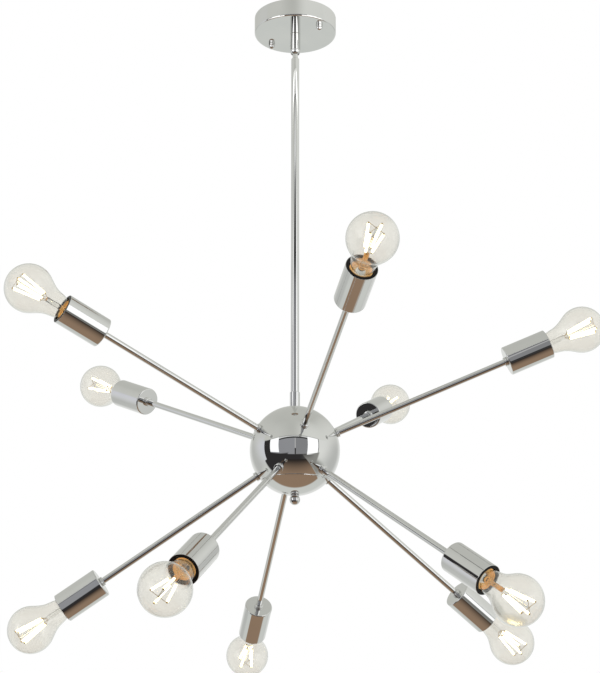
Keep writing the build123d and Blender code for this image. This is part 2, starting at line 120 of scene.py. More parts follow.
zinc_plate = metal("zinc_plate", dark=(0.50, 0.52, 0.56), light=(0.70, 0.71, 0.70), gloss=(0.26, 0.42),
                   blotch=9 * mm, ripple=0.6 * mm, ripple_height=0.02 * mm)
for hidden_steel in ("mounting_bar", "canopy_studs", "swivel_nipple", "canopy_lock_nut"):
    recoated(hidden_steel, zinc_plate)

# --- Canopy: a shallow pan spun from 1 mm sheet and chrome plated, with a rolled lower edge. Two cap
# nuts draw it up against the ceiling, and the swivel hangs from the hole in its middle. ---
canopy_radius = 56.5 * mm
canopy_sheet = 1.0 * mm
canopy_edge_radius = 2.0 * mm
canopy_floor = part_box("canopy")[0].z
nipple_hole_radius = 5.05 * mm
stud_hole_radius = 2.15 * mm
hard_bend = 35
chrome = metal("chrome_plate", dark=(0.735, 0.74, 0.735), light=(0.775, 0.775, 0.765), gloss=(0.012, 0.035),
               blotch=40 * mm, ripple=22 * mm, ripple_height=0.012 * mm)
centre_line = Matrix.Identity(4)


def arc(across, height, size, start, end, steps=8):
    """Points of an outline along an arc about a middle, from one angle to another in degrees."""
    angles = [radians(start + (end - start) * step / steps) for step in range(steps + 1)]
    return [(across + size * cos(a), height + size * sin(a)) for a in angles]


def straight(start, end, inset=0.3 * mm):
    """A flat stretch between two bends, with a ring just inside each end to keep its shading flat."""
    start, end = Vector(start), Vector(end)
    step = (end - start).normalized() * inset
    return [tuple(start + step), tuple(end - step)]


def lathe(bm, outline, place, steps=96, wave=None):
    """Turn an outline of (radius, height) points about the Z axis of a place. An outline that starts
    and ends off the axis closes on itself."""
    rings = []
    for radius, height in outline:
        count = steps if radius > 0 else 1
        ring = []
        for step in range(count):
            angle = 2 * pi * step / count
            r = radius + (wave(angle, height) if wave else 0)
            ring.append(bm.verts.new(place @ Vector((r * cos(angle), r * sin(angle), height))))
        rings.append(ring)
    closes = outline[0][0] > 0 and outline[-1][0] > 0
    for ring, above in zip(rings, rings[1:] + (rings[:1] if closes else [])):
        for step in range(steps):
            here, there = step, (step + 1) % steps
            corners = [ring[here % len(ring)], ring[there % len(ring)]]
            corners += [above[there % len(above)], above[here % len(above)]]
            corners = list(dict.fromkeys(corners))
            if len(corners) > 2:
                bm.faces.new(corners)


def edged(bm, hard_angle):
    """Shade every face smooth, and keep hard each edge that bends by this many degrees or more."""
    for face in bm.faces:
        face.smooth = True
    for edge in bm.edges:
        edge.smooth = not edge.is_manifold or edge.calc_face_angle() < radians(hard_angle)


def finished(name, bm, body, material, node=None, hard_angle=hard_bend):
    """Make the piece from its mesh: smooth, with its real edges kept hard, in its material, riding on
    its body, in place of its plain solid."""
    bmesh.ops.recalc_face_normals(bm, faces=bm.faces)
    edged(bm, hard_angle)
    mesh = bpy.data.meshes.new(name)
    bm.to_mesh(mesh)
    bm.free()
    mesh.materials.append(material)
    piece = bpy.data.objects.new(name, mesh)
    bpy.context.scene.collection.objects.link(piece)
    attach(piece, body)
    if node:
        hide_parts(node)
    return piece


def turned(name, outline, place, body, material, node=None, steps=96, wave=None):
    """A piece made by turning one outline."""
    bm = bmesh.new()
    lathe(bm, outline, place, steps, wave)
    return finished(name, bm, body, material, node)


def drilled(piece, places, radius, start, end):
    """Cut a round hole through a piece at each place, and keep the new edges hard."""
    bits = bmesh.new()
    for place in places:
        lathe(bits, [(0, start), (radius, start), (radius, end), (0, end)], place, steps=48)
    bmesh.ops.recalc_face_normals(bits, faces=bits.faces)
    bit_mesh = bpy.data.meshes.new("drill_bits")
    bits.to_mesh(bit_mesh)
    bits.free()
    bit = bpy.data.objects.new("drill_bits", bit_mesh)
    bpy.context.scene.collection.objects.link(bit)
    cut = piece.modifiers.new("holes", "BOOLEAN")
    cut.object = bit
    cut.solver = "EXACT"
    depsgraph = bpy.context.evaluated_depsgraph_get()
    holed = bpy.data.meshes.new_from_object(piece.evaluated_get(depsgraph))
    piece.modifiers.clear()
    bm = bmesh.new()
    bm.from_mesh(holed)
    edged(bm, hard_bend)
    bm.to_mesh(holed)
    bm.free()
    piece.data = holed
    bpy.data.objects.remove(bit)
    bpy.data.meshes.remove(bit_mesh)


edge_across = canopy_radius - canopy_edge_radius
edge_height = canopy_floor + canopy_edge_radius
lip_radius = canopy_sheet / 2
inner_edge_radius = canopy_edge_radius - canopy_sheet
inner_radius = canopy_radius - canopy_sheet
inner_floor = canopy_floor + canopy_sheet
canopy_outline = [(nipple_hole_radius, canopy_floor)]
canopy_outline += straight((nipple_hole_radius, canopy_floor), (edge_across, canopy_floor))
canopy_outline += arc(edge_across, edge_height, canopy_edge_radius, -90, 0)
canopy_outline += straight((canopy_radius, edge_height), (canopy_radius, -lip_radius))
canopy_outline += arc(canopy_radius - lip_radius, -lip_radius, lip_radius, 0, 180)
canopy_outline += straight((inner_radius, -lip_radius), (inner_radius, edge_height))
canopy_outline += arc(edge_across, edge_height, inner_edge_radius, 0, -90)
canopy_outline += straight((edge_across, inner_floor), (nipple_hole_radius, inner_floor))
canopy_outline += [(nipple_hole_radius, inner_floor)]
canopy_pan = turned("canopy_pan", canopy_outline, centre_line, "ceiling_mount", chrome, "canopy", steps=160)
nut_places = {}
for side in ("left", "right"):
    nut_low, nut_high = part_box(f"canopy_nut_{side}")
    nut_middle = (nut_low + nut_high) / 2
    nut_places[side] = Matrix.Translation((nut_middle.x, nut_middle.y, nut_high.z))
drilled(canopy_pan, nut_places.values(), stud_hole_radius, -canopy_sheet, 2 * canopy_sheet)

# --- Cap nuts: turned from bar, with a short round skirt under a dome and a fine groove between
# them. They screw onto the two studs that come through the canopy, and are chrome plated. ---
nut_radius = 4.7 * mm
nut_skirt = 3.4 * mm
nut_groove = 0.25 * mm
nut_seat_radius = 4.2 * mm
nut_seat_slope = 0.7
nut_chamfer = (nut_radius - nut_seat_radius) * nut_seat_slope
nut_dome_start, nut_dome_end = -3, -87
nut_outline = [(0, 0), (nut_seat_radius, 0), (nut_radius, -nut_chamfer)]
nut_outline += [(nut_radius, -nut_skirt + nut_groove), (nut_radius - nut_groove, -nut_skirt)]
nut_outline += arc(0, -nut_skirt, nut_radius - nut_groove / 2, nut_dome_start, nut_dome_end, steps=14)
nut_outline += [(0, -nut_skirt - nut_radius)]
for side, nut_place in nut_places.items():
    nut = f"canopy_nut_{side}"
    turned(f"cap_nut_{side}", nut_outline, nut_place, nut, chrome, nut, steps=64)

# --- Swivel: a steel ball on a hollow stem, cupped in a barrel that screws onto the nipple. It lets
# the rod hang plumb. The barrel's end is domed in over the ball, and all that shows is chromed. ---
barrel_low, barrel_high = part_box("swivel_barrel")
barrel_radius = (barrel_high.x - barrel_low.x) / 2
barrel_wall = 1.05 * mm
barrel_mouth = 5.5 * mm
barrel_edge = 0.4 * mm
ball_low, ball_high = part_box("swivel_stem")
ball_radius = (ball_high.x - ball_low.x) / 2
stem_bore = 2.2 * mm
ball_level = ball_high.z - sqrt(ball_radius ** 2 - stem_bore ** 2)
neck_radius = 3.75 * mm
shank_radius = 4.25 * mm
shank_length = 12 * mm
ball_top_angle = 69
rod_low, rod_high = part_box("downrod")


def slope_at(size, across):
    """The angle, in degrees below level, at which a circle of this size is this far from its middle."""
    return -atan2(sqrt(size * size - across * across), across) * 180 / pi


barrel_bore = barrel_radius - barrel_wall
barrel_outline = [(barrel_bore, ball_level), (barrel_bore, barrel_high.z)]
barrel_shoulder = barrel_high.z - barrel_edge
barrel_outline += [(barrel_radius - barrel_edge, barrel_high.z), (barrel_radius, barrel_shoulder)]
barrel_outline += straight((barrel_radius, barrel_shoulder), (barrel_radius, ball_level))
barrel_outline += arc(0, ball_level, barrel_radius, 0, slope_at(barrel_radius, barrel_mouth), steps=20)
barrel_outline += arc(0, ball_level, barrel_bore, slope_at(barrel_bore, barrel_mouth), 0, steps=20)
turned("swivel_socket", barrel_outline, centre_line, "ceiling_mount", chrome, "swivel_barrel")

shank_end = rod_high.z - shank_length
stem_outline = arc(0, ball_level, ball_radius, ball_top_angle, slope_at(ball_radius, neck_radius), steps=24)
stem_outline += [(neck_radius, rod_high.z), (shank_radius, rod_high.z)]
stem_outline += [(shank_radius, shank_end), (stem_bore, shank_end)]
turned("swivel_ball", stem_outline, centre_line, "swivel", chrome, "swivel_stem", steps=64)

# --- Downrod: one straight length of 11 mm steel tube, chrome plated and buffed. The stem screws
# into its top, and its foot seats in the hub coupling. ---
rod_radius = (rod_high.x - rod_low.x) / 2
rod_wall = 1.2 * mm
rod_edge = 0.3 * mm


def tube_outline(outside, inside, low, high, edge):
    """A tube between two levels, its outside corners broken by a small edge."""
    return [(inside, low), (outside - edge, low), (outside, low + edge), (outside, high - edge),
            (outside - edge, high), (inside, high)]


rod_outline = tube_outline(rod_radius, rod_radius - rod_wall, rod_low.z, rod_high.z, rod_edge)
turned("rod_tube", rod_outline, centre_line, "fixture", chrome, "downrod", steps=128)

# --- Hub coupling: a short sleeve, bored for the downrod above and tapped for the tie rod below.
# It stands on the top of the ball and covers the joint. ---
coupling_low, coupling_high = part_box("hub_coupling")
coupling_radius = (coupling_high.x - coupling_low.x) / 2
coupling_edge = 0.5 * mm
coupling_outline = tube_outline(coupling_radius, rod_radius, coupling_low.z, coupling_high.z, coupling_edge)
turned("coupling_sleeve", coupling_outline, centre_line, "fixture", chrome, "hub_coupling", steps=128)

# --- Hub: a hollow ball spun from brass sheet, with ten holes for the arms, buffed and mirror chrome
# plated. The tie rod runs through it, and a nut on the rod draws the coupling down on its top. ---
hub_low, hub_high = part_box("hub_shell")
hub_radius = (hub_high.x - hub_low.x) / 2
hub_wall = 1.2 * mm
tie_hole_radius = 5.05 * mm
arm_hole_radius = 4.15 * mm
bulb_count = 10
ball_steps = 224
hub_seam = hub_low.z
seam_edge = 0.4 * mm
hub_centre = Vector((0, 0, hub_high.z - sqrt(hub_radius ** 2 - tie_hole_radius ** 2)))
hub_bore = hub_radius - hub_wall
hub_place = Matrix.Translation(hub_centre)
arm_lines = []
for bulb in range(1, bulb_count + 1):
    travel = next(joint for joint in frame["joints"] if joint["name"] == f"bulb_{bulb}_travel")
    arm_lines.append(Vector(travel["axis"]).normalized())


def along_arm(direction):
    """The place whose Z axis runs out from the middle of the hub along an arm."""
    across = Vector((-direction.y, direction.x, 0)).normalized()
    turn = Matrix((across, direction.cross(across), direction)).transposed().to_4x4()
    return hub_place @ turn


arm_places = [along_arm(direction) for direction in arm_lines]


def level_angle(size, height):
    """The angle, in degrees, at which a ball of this size reaches a height above its middle."""
    return atan2(height, sqrt(size * size - height * height)) * 180 / pi


def trued_ball(piece, centre, outside, inside):
    """Shade a ball's two walls as true spheres, and its edges as they are."""
    mesh = piece.data
    slack = 0.05 * mm
    normals = [None] * len(mesh.loops)
    for face in mesh.polygons:
        spokes = [mesh.vertices[index].co - centre for index in face.vertices]
        on_outside = all(abs(spoke.length - outside) < slack for spoke in spokes)
        on_inside = all(abs(spoke.length - inside) < slack for spoke in spokes)
        for loop, spoke in zip(face.loop_indices, spokes):
            if on_outside or on_inside:
                normals[loop] = spoke.normalized() * (1 if on_outside else -1)
            else:
                normals[loop] = face.normal.copy()
    mesh.normals_split_custom_set(normals)


seam_level = hub_seam - hub_centre.z
hub_outline = arc(0, 0, hub_radius, level_angle(hub_radius, seam_level + seam_edge),
                  90 - level_angle(hub_radius, tie_hole_radius), steps=110)
hub_outline += arc(0, 0, hub_bore, 90 - level_angle(hub_bore, tie_hole_radius),
                   level_angle(hub_bore, seam_level), steps=110)
seam_radius = sqrt(hub_radius ** 2 - seam_level ** 2)
hub_outline += [(seam_radius - seam_edge, seam_level)]
hub_ball = turned("hub_ball", hub_outline, hub_place, "fixture", chrome, "hub_shell", ball_steps)
drill_start, drill_end = hub_radius - 6 * hub_wall, hub_radius + 2 * hub_wall
drilled(hub_ball, arm_places, arm_hole_radius, drill_start, drill_end)
trued_ball(hub_ball, hub_centre, hub_radius, hub_bore)

# --- Access cap: the bottom of the ball, spun with it and parted off, so that the wiring can be
# reached. An inner lip centres it, and the finial clamps it. The seam shows as a hair line. ---
seam_width = 0.3 * mm
cap_level = hub_seam - seam_width - hub_centre.z
tail_hole_radius = 3.15 * mm
lip_wall = 0.9 * mm
lip_root = 1.0 * mm
lip_clearance = 0.1 * mm
lip_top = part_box("hub_cap")[1].z - hub_centre.z
lip_outside = sqrt(hub_bore ** 2 - seam_level ** 2) - lip_clearance
cap_top_radius = sqrt(hub_radius ** 2 - cap_level ** 2)
cap_outline = arc(0, 0, hub_radius, -90 + level_angle(hub_radius, tail_hole_radius),
                  level_angle(hub_radius, cap_level - seam_edge), steps=60)
cap_outline += [(cap_top_radius - seam_edge, cap_level), (lip_outside, cap_level)]
cap_outline += [(lip_outside, lip_top), (lip_outside - lip_wall, lip_top)]
cap_outline += arc(0, 0, hub_bore, level_angle(hub_bore, cap_level - lip_root - lip_wall),
                   -90 + level_angle(hub_bore, tail_hole_radius), steps=60)
access_cap = turned("access_cap", cap_outline, hub_place, "fixture", chrome, "hub_cap", ball_steps)
trued_ball(access_cap, hub_centre, hub_radius, hub_bore)

# --- Finial: a solid ball on a short round collar, turned in one piece and tapped, and screwed up
# the tail of the tie rod. It carries the access cap. ---
finial_low, finial_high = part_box("finial")
finial_radius = 6.8 * mm
finial_waist = 5.2 * mm
finial_collar = 5.7 * mm
finial_tap = 3.05 * mm
finial_edge = 0.4 * mm
finial_tip_angle = -88
collar_slope, waist_slope = (1, -0.6), (-1, -0.4)
finial_middle = finial_low.z + finial_radius
finial_seat = finial_high.z
waist_level = finial_middle + sqrt(finial_radius ** 2 - finial_waist ** 2)


def bend(start, start_slope, end, end_slope, steps=12):
    """Points along a smooth bend from one point and direction to another."""
    start, end = Vector(start), Vector(end)
    reach = (end - start).length
    out, back = Vector(start_slope).normalized() * reach, Vector(end_slope).normalized() * reach
    points = []
    for step in range(steps + 1):
        t = step / steps
        point = start * (2 * t**3 - 3 * t**2 + 1) + out * (t**3 - 2 * t**2 + t)
        point += end * (3 * t**2 - 2 * t**3) + back * (t**3 - t**2)
        points.append((point.x, point.y))
    return points


collar_corner, waist_corner = (finial_collar - finial_edge, finial_seat), (finial_waist, waist_level)
waist_angle = level_angle(finial_radius, waist_level - finial_middle)
finial_outline = [(finial_tap, finial_seat), collar_corner]
finial_outline += bend(collar_corner, collar_slope, waist_corner, waist_slope, steps=8)[1:]
finial_outline += arc(0, finial_middle, finial_radius, waist_angle, finial_tip_angle, steps=40)
finial_outline += [(0, finial_low.z), (0, waist_level), (finial_tap, waist_level)]
turned("finial_ball", finial_outline, centre_line, "finial", chrome, "finial")
for hidden_steel in ("hub_tie_rod", "arm_tube_nuts"):
    recoated(hidden_steel, zinc_plate)

# --- Arms: ten straight 8 mm tubes, cut square, threaded at both ends and chrome plated. Nuts inside
# the hub and inside the cup hold each one. ---
arm_radius = 4.0 * mm
arm_bore = 3.2 * mm
arm_start = 49.8 * mm
arm_end = 315 * mm
arm_edge = 0.25 * mm
arm_outline = tube_outline(arm_radius, arm_bore, arm_start, arm_end, arm_edge)
for number, place in enumerate(arm_places, start=1):
    turned(f"arm_{number}", arm_outline, place, "fixture", chrome, f"arm_tube_{number}", steps=64)

# --- Lock rings: small round nuts with chamfered ends and a groove turned round the middle. One beds
# each arm against the ball and another against the back of its cup. ---
ring_radius = 6.0 * mm
ring_bore = 4.05 * mm
ring_length = 3.5 * mm
ring_chamfer = 0.4 * mm
ring_groove = 0.5 * mm
hub_ring_start = sqrt(hub_radius ** 2 - arm_hole_radius ** 2)
cup_reach = 297 * mm


def ring_outline(start):
    """A lock ring that starts at this distance along its arm."""
    outline = tube_outline(ring_radius, ring_bore, start, start + ring_length, ring_chamfer)
    middle = start + ring_length / 2
    groove = [(ring_radius, middle - ring_groove), (ring_radius - ring_groove, middle)]
    groove += [(ring_radius, middle + ring_groove)]
    return outline[:3] + groove + outline[3:]


rings = bmesh.new()
for place in arm_places:
    for ring_start in (hub_ring_start, cup_reach - ring_length):
        lathe(rings, ring_outline(ring_start), place, steps=64)
finished("lock_rings", rings, "fixture", chrome, "arm_lock_rings", hard_angle=50)

# --- Socket cups: deep drawn from brass sheet, with a rounded back and a trimmed mouth, and chrome
# plated outside and in. The arm's end passes through a hole in the back. ---
cup_radius = 19 * mm
cup_length = 58.5 * mm
cup_wall = 0.6 * mm
cup_edge_radius = 1.6 * mm
cup_mouth = cup_reach + cup_length
rim_radius = cup_wall / 2
cup_corner = cup_radius - cup_edge_radius
cup_back, cup_lip = cup_reach + cup_edge_radius, cup_mouth - rim_radius
cup_bore = cup_radius - cup_wall
cup_outline = [(arm_hole_radius, cup_reach)]
cup_outline += straight((arm_hole_radius, cup_reach), (cup_corner, cup_reach))
cup_outline += arc(cup_corner, cup_back, cup_edge_radius, -90, 0)
cup_outline += straight((cup_radius, cup_back), (cup_radius, cup_lip))
cup_outline += arc(cup_radius - rim_radius, cup_lip, rim_radius, 0, 180, steps=6)
cup_outline += straight((cup_bore, cup_lip), (cup_bore, cup_back))
cup_outline += arc(cup_corner, cup_back, cup_edge_radius - cup_wall, 0, -90)
cup_outline += [(arm_hole_radius, cup_reach + cup_wall)]
for number, place in enumerate(arm_places, start=1):
    turned(f"cup_{number}", cup_outline, place, "fixture", chrome, f"socket_cup_{number}", steps=128)

# --- Lampholders: moulded in black phenolic, with a boss that screws onto the arm's end and a collar
# that fills the cup's mouth. Satin, with the faint swirl and fine grain of the moulding powder. ---
holder_boss_start = 302.6 * mm
holder_bottom = 320.8 * mm
holder_floor = 323.8 * mm
holder_rim = 355.9 * mm
holder_collar = 346.9 * mm
holder_ledge = 352.3 * mm
boss_radius = 8 * mm
body_radius = 17 * mm
collar_radius = 18.3 * mm
mouth_radius = 14.8 * mm
shell_seat_radius = 13.7 * mm
rivet_hole_radius = 1.2 * mm
rim_round = 0.6 * mm
phenolic, phenolic_nodes, phenolic_links = new_material("black_phenolic")
phenolic_shader = phenolic_nodes["Principled BSDF"]
phenolic_shader.inputs["Specular IOR Level"].default_value = 0.16
swirl = grain(phenolic_nodes, phenolic_links, 5 * mm)
blotched(phenolic_nodes, phenolic_links, swirl, (0.005, 0.004, 0.004), (0.012, 0.010, 0.009),
         phenolic_shader.inputs["Base Color"])
haze = grain(phenolic_nodes, phenolic_links, 1.5 * mm)
satin = stretched(phenolic_nodes, phenolic_links, haze, 0.28, 0.44)
phenolic_links.new(satin, phenolic_shader.inputs["Roughness"])
powder = grain(phenolic_nodes, phenolic_links, 0.4 * mm)
embossed(phenolic_nodes, phenolic_links, powder, 0.015 * mm, phenolic_shader)
holder_outline = [(ring_bore, holder_boss_start), (boss_radius, holder_boss_start)]
holder_outline += [(boss_radius, holder_bottom), (body_radius, holder_bottom)]
holder_outline += [(body_radius, holder_collar), (collar_radius, holder_collar)]
holder_outline += arc(collar_radius - rim_round, holder_rim - rim_round, rim_round, 0, 90, steps=5)
holder_outline += arc(mouth_radius + rim_round, holder_rim - rim_round, rim_round, 90, 180, steps=5)
holder_outline += [(mouth_radius, holder_ledge), (shell_seat_radius, holder_ledge)]
holder_outline += [(shell_seat_radius, holder_floor), (rivet_hole_radius, holder_floor)]
holder_outline += [(rivet_hole_radius, holder_bottom), (ring_bore, holder_bottom)]
holders = bmesh.new()
for place in arm_places:
    lathe(holders, holder_outline, place)
finished("lampholders", holders, "fixture", phenolic, "lampholder_bodies")

# --- Screw shells and centre contacts: drawn brass, the shell rolled with the coarse round thread that
# the bulb's cap screws into, and the contact riveted through the floor. The brass has a faint warm
# painted glow, which stands in for the filaments' light on it. ---
thread_pitch = 3.629 * mm
thread_depth = 0.35 * mm
shell_wall = 0.3 * mm
shell_flange = 9 * mm
shell_floor = 0.5 * mm
shell_clearance = 0.02 * mm
rings_per_turn = 10
# The colour and strength of the painted glow that stands in for the filaments' light on the brass.
painted_lamp_glow = (1.0, 0.62, 0.25, 1)
brass_painted_glow = 0.28
brass = metal("drawn_brass", dark=(0.70, 0.48, 0.20), light=(0.84, 0.62, 0.30), gloss=(0.18, 0.34),
              blotch=4 * mm, ripple=0.8 * mm, ripple_height=0.03 * mm)


def glowing(material, colour, strength):
    """Give a material a glow of its own."""
    shader = material.node_tree.nodes["Principled BSDF"]
    shader.inputs["Emission Color"].default_value = colour
    shader.inputs["Emission Strength"].default_value = strength


def threaded(radius, start, end):
    """Points up a threaded wall, close enough together for the thread to show."""
    count = int(abs(end - start) / thread_pitch * rings_per_turn)
    return [(radius, start + (end - start) * step / count) for step in range(count + 1)]


def thread_wave(start, end):
    """A right-handed thread between two levels, run out to nothing at its ends."""
    low, high = min(start, end), max(start, end)

    def wave(angle, height):
        room = min(height - low, high - height) / (thread_pitch / 2)
        return thread_depth * max(0, min(1, room)) * sin(2 * pi * height / thread_pitch - angle)
    return wave


# The brass gets a painted glow for the filaments' light; it is no lamp.
glowing(brass, painted_lamp_glow, brass_painted_glow)
shell_radius = shell_seat_radius - thread_depth - shell_clearance
shell_outline = [(shell_flange, holder_floor), *threaded(shell_radius, holder_floor, holder_ledge)]
shell_outline += [*threaded(shell_radius - shell_wall, holder_ledge, holder_floor + shell_floor)]
shell_outline += [(shell_flange, holder_floor + shell_floor)]
shell_thread = thread_wave(holder_floor + shell_floor, holder_ledge)
shells = bmesh.new()
for place in arm_places:
    lathe(shells, shell_outline, place, steps=64, wave=shell_thread)
finished("screw_shells", shells, "fixture", brass, "lampholder_shells", hard_angle=70)
recoated("lampholder_contacts", brass)

# --- Bulb glass: a 60 mm globe blown in clear glass, its shoulder drawn in to a neck that is sealed
# into the cap. The wall is even, with the slow ripple of blown glass and a faint warm tint. ---
globe_radius = 30 * mm
glass_wall = 0.8 * mm
globe_tip_angle = 88
shoulder_angle = 31
shoulder_radius = 16.9 * mm
shoulder_drop = 32 * mm
glass_neck_radius = 14.2 * mm
neck_drop = 44.5 * mm
root_radius = 12.4 * mm
root_drop = 49.5 * mm
glass_end_drop = 56 * mm
bulb_reach = 403.3 * mm
glass_colour = (0.915, 0.905, 0.865, 1)
glass_refraction = 1.5
clear_glass, glass_nodes, glass_links = new_material("clear_glass")
glass_shader = glass_nodes["Principled BSDF"]
glass_shader.inputs["Base Color"].default_value = glass_colour
glass_shader.inputs["Transmission Weight"].default_value = 1.0
glass_shader.inputs["IOR"].default_value = glass_refraction
haze = stretched(glass_nodes, glass_links, grain(glass_nodes, glass_links, 12 * mm, detail=5), 0.05, 0.10)
glass_links.new(haze, glass_shader.inputs["Roughness"])
ripple = grain(glass_nodes, glass_links, 16 * mm, detail=1)
embossed(glass_nodes, glass_links, ripple, 0.05 * mm, glass_shader)


def glass_line(inset):
    """One side of the glass, from the tip of the globe to the open end of the neck."""
    size = globe_radius - inset
    turn = radians(shoulder_angle)
    globe_end = (size * cos(turn), -size * sin(turn))
    shoulder = (shoulder_radius - inset, -shoulder_drop)
    neck = (glass_neck_radius - inset, -neck_drop)
    root = (root_radius - inset, -root_drop)
    shoulder_slope, neck_slope = (-0.3, -1), (-0.3, -1)
    line = [(0, size), *arc(0, 0, size, globe_tip_angle, -shoulder_angle, steps=58)]
    line += bend(globe_end, (-sin(turn), -cos(turn)), shoulder, shoulder_slope, steps=14)[1:]
    line += bend(shoulder, shoulder_slope, neck, neck_slope, steps=8)[1:]
    line += bend(neck, neck_slope, root, (0, -1), steps=8)[1:]
    return line + [(root_radius - inset, -glass_end_drop)]


glass_outline = glass_line(0) + glass_line(glass_wall)[::-1]
bulb_places = [place @ Matrix.Translation((0, 0, bulb_reach)) for place in arm_places]
for number, place in enumerate(bulb_places, start=1):
    globe = turned(f"bulb_{number}_globe", glass_outline, place, f"bulb_{number}", clear_glass,
                   f"bulb_glass_{number}", steps=128)
    # The chrome mirrors the painted room alone: a lit bulb in it breaks up into bright specks.
    globe.visible_glossy = False

# --- Bulb core: the brass screw cap with its cement, black glass insulator and solder tip, and the
# glass stem with its four glowing filaments, which lean out in a V from the foot of the globe. ---
cap_rim_drop = 48.8 * mm
cap_radius = 13.1 * mm
cap_wall_sheet = 0.35 * mm
cap_shell_end = 70 * mm
cap_cone_end = 73.5 * mm
cap_cone_radius = 8 * mm
insulator_end = 76 * mm
insulator_tip = 4.8 * mm
solder_radius = 4.4 * mm
solder_end = 78 * mm
flare_radius = 11.2 * mm
flare_top = 44 * mm
stem_radius = 3 * mm
stem_top = 24 * mm
stem_rod_radius = 1.2 * mm
stem_rod_top = 17.8 * mm
filament_radius = 1.3 * mm
filament_count = 4
filament_foot = -20 * mm
filament_foot_spread = 5 * mm
filament_head = 17 * mm
filament_head_spread = 11 * mm
lead_radius = 0.3 * mm
lead_root = -25 * mm
tab_length = 1.6 * mm
tab_share = 0.9
bar_ease = 0.3
solder_edge = 1 * mm
stem_edge = 1 * mm
cement_gap = 0.2 * mm
cement_depth = 2 * mm
filament_colour = (1.0, 0.84, 0.47, 1)
filament_glow = 6.5
# The strength of the painted glow on the cap's cement, which stands in for the filaments' light on it.
cement_painted_glow = 0.35


def plain(name, dark, light, roughness, blotch):
    """A glassy or dull material whose colour and gloss drift, over a fine bumpiness."""
    material, nodes, links = new_material(name)
    shader = nodes["Principled BSDF"]
    blotched(nodes, links, grain(nodes, links, blotch), dark, light, shader.inputs["Base Color"])
    haze = stretched(nodes, links, grain(nodes, links, blotch, detail=5), *roughness)
    links.new(haze, shader.inputs["Roughness"])
    embossed(nodes, links, grain(nodes, links, blotch / 4, detail=2), 0.01 * mm, shader)
    return material


insulator_glass = plain("insulator_glass", dark=(0.010, 0.009, 0.012), light=(0.03, 0.026, 0.034),
                        roughness=(0.08, 0.2), blotch=3 * mm)
solder = metal("solder", dark=(0.55, 0.56, 0.58), light=(0.72, 0.72, 0.72), gloss=(0.25, 0.45),
               blotch=2 * mm, ripple=0.5 * mm, ripple_height=0.03 * mm)
lead_wire = metal("copper_lead", dark=(0.72, 0.50, 0.25), light=(0.86, 0.66, 0.38), gloss=(0.15, 0.3),
                  blotch=2 * mm, ripple=0.4 * mm, ripple_height=0.01 * mm)
cement = plain("cap_cement", dark=(0.62, 0.40, 0.16), light=(0.80, 0.56, 0.26), roughness=(0.5, 0.7),
               blotch=2 * mm)
# The cement gets a painted glow for the filaments' light; it is no lamp.
glowing(cement, painted_lamp_glow, cement_painted_glow)
stem_glass = plain("stem_glass", dark=(0.93, 0.93, 0.91), light=(0.97, 0.97, 0.95), roughness=(0.0, 0.04),
                   blotch=5 * mm)
stem_shader = stem_glass.node_tree.nodes["Principled BSDF"]
stem_shader.inputs["Transmission Weight"].default_value = 1.0
stem_shader.inputs["IOR"].default_value = glass_refraction
filament = plain("glowing_filament", dark=(0.85, 0.55, 0.18), light=(0.95, 0.68, 0.30), roughness=(0.4, 0.6),
                 blotch=1 * mm)
glowing(filament, filament_colour, filament_glow)
core_finishes = [brass, insulator_glass, solder, stem_glass, lead_wire, filament, cement]


def core_part(bm, finish, outline, place, steps, wave=None):
    """Add one turned part to the core, in its own finish."""
    before = len(bm.faces)
    lathe(bm, outline, place, steps, wave)
    for face in list(bm.faces)[before:]:
        face.material_index = core_finishes.index(finish)


def core_bar(bm, finish, place, start, end, radius, steps=12):
    """Add a round bar with eased ends between two points."""
    line = Vector(end) - Vector(start)
    stand = Matrix.Translation(start) @ line.to_track_quat("Z", "X").to_matrix().to_4x4()
    ease = radius * bar_ease
    outline = [(0, 0), (radius - ease, 0), (radius, ease), (radius, line.length - ease)]
    outline += [(radius - ease, line.length), (0, line.length)]
    core_part(bm, finish, outline, place @ stand, steps)


cap_thread_radius = cap_radius - thread_depth
cap_line = [(cap_radius - cap_wall_sheet, -cap_rim_drop)]
cap_line += threaded(cap_thread_radius, -cap_rim_drop, -cap_shell_end)
cap_line += [(cap_cone_radius, -cap_cone_end), (cap_cone_radius - cap_wall_sheet, -cap_cone_end)]
cap_line += threaded(cap_thread_radius - cap_wall_sheet, -cap_shell_end, -cap_rim_drop)
insulator_line = [(0, -cap_cone_end), (cap_cone_radius, -cap_cone_end)]
insulator_line += [(insulator_tip, -insulator_end), (0, -insulator_end)]
solder_line = [(0, -insulator_end), (solder_radius, -insulator_end)]
solder_line += arc(solder_radius - solder_edge, -solder_end + solder_edge, solder_edge, 0, -90, steps=5)
solder_line += [(0, -solder_end)]
cement_top, cement_foot = -glass_end_drop - cement_gap, -glass_end_drop - cement_depth
cement_line = [(0, cement_top), (root_radius, cement_top), (root_radius, cement_foot), (0, cement_foot)]
stem_line = [(0, -glass_end_drop), (flare_radius, -glass_end_drop)]
stem_line += bend((flare_radius, -glass_end_drop), (-1, 0), (stem_radius, -flare_top), (0, 1), steps=10)[1:]
stem_line += [(stem_radius, -stem_top - stem_edge), (stem_radius - stem_edge, -stem_top)]
stem_line += [(stem_rod_radius, -stem_top), (stem_rod_radius, stem_rod_top - stem_edge)]
stem_line += [(stem_rod_radius / 2, stem_rod_top), (0, stem_rod_top)]
